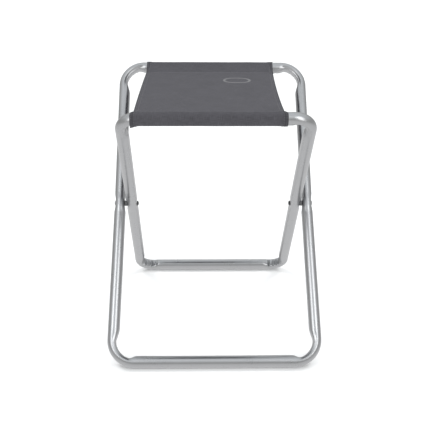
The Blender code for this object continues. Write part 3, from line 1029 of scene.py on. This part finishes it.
def make_floor():
    made = Nodes("studio_floor")
    place = made.object_place()
    cloud = made.noise(place, scale=3, detail=3)
    made.base_color(made.ramp(cloud, [(0.3, (0.94, 0.94, 0.94)), (0.7, (0.96, 0.96, 0.96))]))
    made.set(Roughness=0.9, Specular_IOR_Level=0.1)
    size = FLOOR_HALF_SIZE
    corners = [(-size, -size, 0), (size, -size, 0), (size, size, 0), (-size, size, 0)]
    floor = make_object("floor", corners, [(0, 1, 2, 3)], made.material)
    # The tubes would mirror so bright a floor as glare along their undersides.
    floor.visible_glossy = False


def aim(data, way):
    """A light that shines along a direction."""
    light = bpy.data.objects.new(data.name, data)
    light.rotation_mode = "QUATERNION"
    light.rotation_quaternion = way.to_track_quat("-Z", "Y")
    bpy.context.scene.collection.objects.link(light)
    return light


def make_softbox(name, side):
    data = bpy.data.lights.new(name, "AREA")
    data.shape = "RECTANGLE"
    data.size, data.size_y = SOFTBOX_SIZE
    data.energy = SOFTBOX_ENERGY
    x, y, z = SOFTBOX_PLACE
    place = Vector((side * x, y, z))
    aim(data, Vector(SOFTBOX_TARGET) - place).location = place


def make_fill(name, side):
    data = bpy.data.lights.new(name, "SUN")
    data.energy = FILL_ENERGY
    data.angle = FILL_ANGLE
    x, y, z = FILL_TOWARDS
    # Mirrored in the tubes, a sun would be a hard streak of glare.
    aim(data, -Vector((side * x, y, z))).visible_glossy = False


def make_world():
    """Soft studio surroundings: mid grey at eye level, lighter overhead and below."""
    world = bpy.data.worlds.new("studio")
    bpy.context.scene.world = world
    world.use_nodes = True
    tree = world.node_tree
    place = tree.nodes.new("ShaderNodeTexCoord")
    split = tree.nodes.new("ShaderNodeSeparateXYZ")
    tree.links.new(place.outputs["Generated"], split.inputs[0])
    height = tree.nodes.new("ShaderNodeMapRange")
    height.inputs["From Min"].default_value = -1.0
    tree.links.new(split.outputs["Z"], height.inputs["Value"])
    ramp = tree.nodes.new("ShaderNodeValToRGB")
    tree.links.new(height.outputs["Result"], ramp.inputs["Fac"])
    stops = [  # height, from straight down to straight up, and colour
        (0.0, (1.00, 1.00, 1.00)),
        (0.3, (0.92, 0.92, 0.92)),
        (0.44, (0.74, 0.74, 0.74)),
        (0.5, (0.51, 0.51, 0.50)),
        (0.6, (0.50, 0.50, 0.49)),
        (0.8, (0.84, 0.86, 0.87)),
        (1.0, (0.98, 1.01, 1.03)),
    ]
    fill_ramp(ramp, stops)
    background = tree.nodes["Background"]
    tree.links.new(ramp.outputs["Color"], background.inputs["Color"])
    background.inputs["Strength"].default_value = 1.0


def make_camera():
    """Seen from in front, a little above the seat."""
    level = math.cos(CAMERA_PITCH)
    ahead = Vector((math.sin(CAMERA_YAW) * level, math.cos(CAMERA_YAW) * level, -math.sin(CAMERA_PITCH)))
    level_right = Vector((math.cos(CAMERA_YAW), -math.sin(CAMERA_YAW), 0.0))
    level_down = ahead.cross(level_right)
    right = math.cos(CAMERA_ROLL) * level_right + math.sin(CAMERA_ROLL) * level_down
    down = math.cos(CAMERA_ROLL) * level_down - math.sin(CAMERA_ROLL) * level_right
    data = bpy.data.cameras.new("camera")
    data.sensor_width = 36.0
    data.lens = CAMERA_LENS
    data.clip_start = 0.01
    camera = bpy.data.objects.new("camera", data)
    turn = Matrix((right, -down, -ahead)).transposed().to_4x4()
    camera.matrix_world = Matrix.Translation(CAMERA_PLACE) @ turn
    bpy.context.scene.collection.objects.link(camera)
    bpy.context.scene.camera = camera


# ---------------------------------------------------------------- the stool

aluminium = metal("satin_aluminium", (0.46, 0.465, 0.475), roughness=0.29, scratches=0.000006)
insert_metal = metal("plain_aluminium", (0.55, 0.56, 0.58), roughness=0.40, scratches=0.00003)
steel = metal("zinc_steel", (0.42, 0.42, 0.43), roughness=0.30, scratches=0.00003)
grey_nylon = plastic("grey_nylon", (0.13, 0.13, 0.135), roughness=0.45)
black_nylon = plastic("black_nylon", (0.015, 0.015, 0.016), roughness=0.38)
seat_fabric = woven("grey_polyester", (0.0725, 0.0705, 0.0795), thread=0.00055)
seat_thread = spun("grey_thread", (0.115, 0.115, 0.122))

outer_loop = Loop(
    1,
    OUTER_RAIL_HALF_WIDTH,
    OUTER_PIVOT_HALF_WIDTH,
    OUTER_FOOT_HALF_WIDTH,
    OUTER_BEND_RADIUS,
    CRUSH_RAIL_RAMP,
    OUTER_WRINKLES,
)
inner_loop = Loop(
    -1,
    INNER_RAIL_HALF_WIDTH,
    INNER_PIVOT_HALF_WIDTH,
    INNER_FOOT_HALF_WIDTH,
    INNER_BEND_RADIUS,
    INNER_FOOT_RAMP,
    INNER_WRINKLES,
)
make_tube("outer_tube", outer_loop, "outer_frame", "outer_frame_tube", OUTER_PIVOT_HALF_WIDTH)
make_tube("inner_tube", inner_loop, "inner_frame", "inner_frame_tube", INNER_PIVOT_HALF_WIDTH)
make_pivot("left", -1)
make_pivot("right", 1)
for node_name, node in frame["nodes"].items():
    if node_name.endswith("_insert"):
        node.data.materials.clear()
        node.data.materials.append(insert_metal)
    elif node_name.endswith("_pin"):
        node.data.materials.clear()
        node.data.materials.append(steel)

cloth = Cloth()
seat = make_cloth()
stitching = make_stitching()
for piece in (seat, stitching):
    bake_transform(piece)
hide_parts("seat_panel", "seat_front_sleeve", "seat_rear_sleeve")

make_floor()
make_world()
make_softbox("left_softbox", -1)
make_softbox("right_softbox", 1)
make_fill("left_fill", -1)
make_fill("right_fill", 1)
bpy.context.scene.view_settings.view_transform = "Standard"
make_camera()
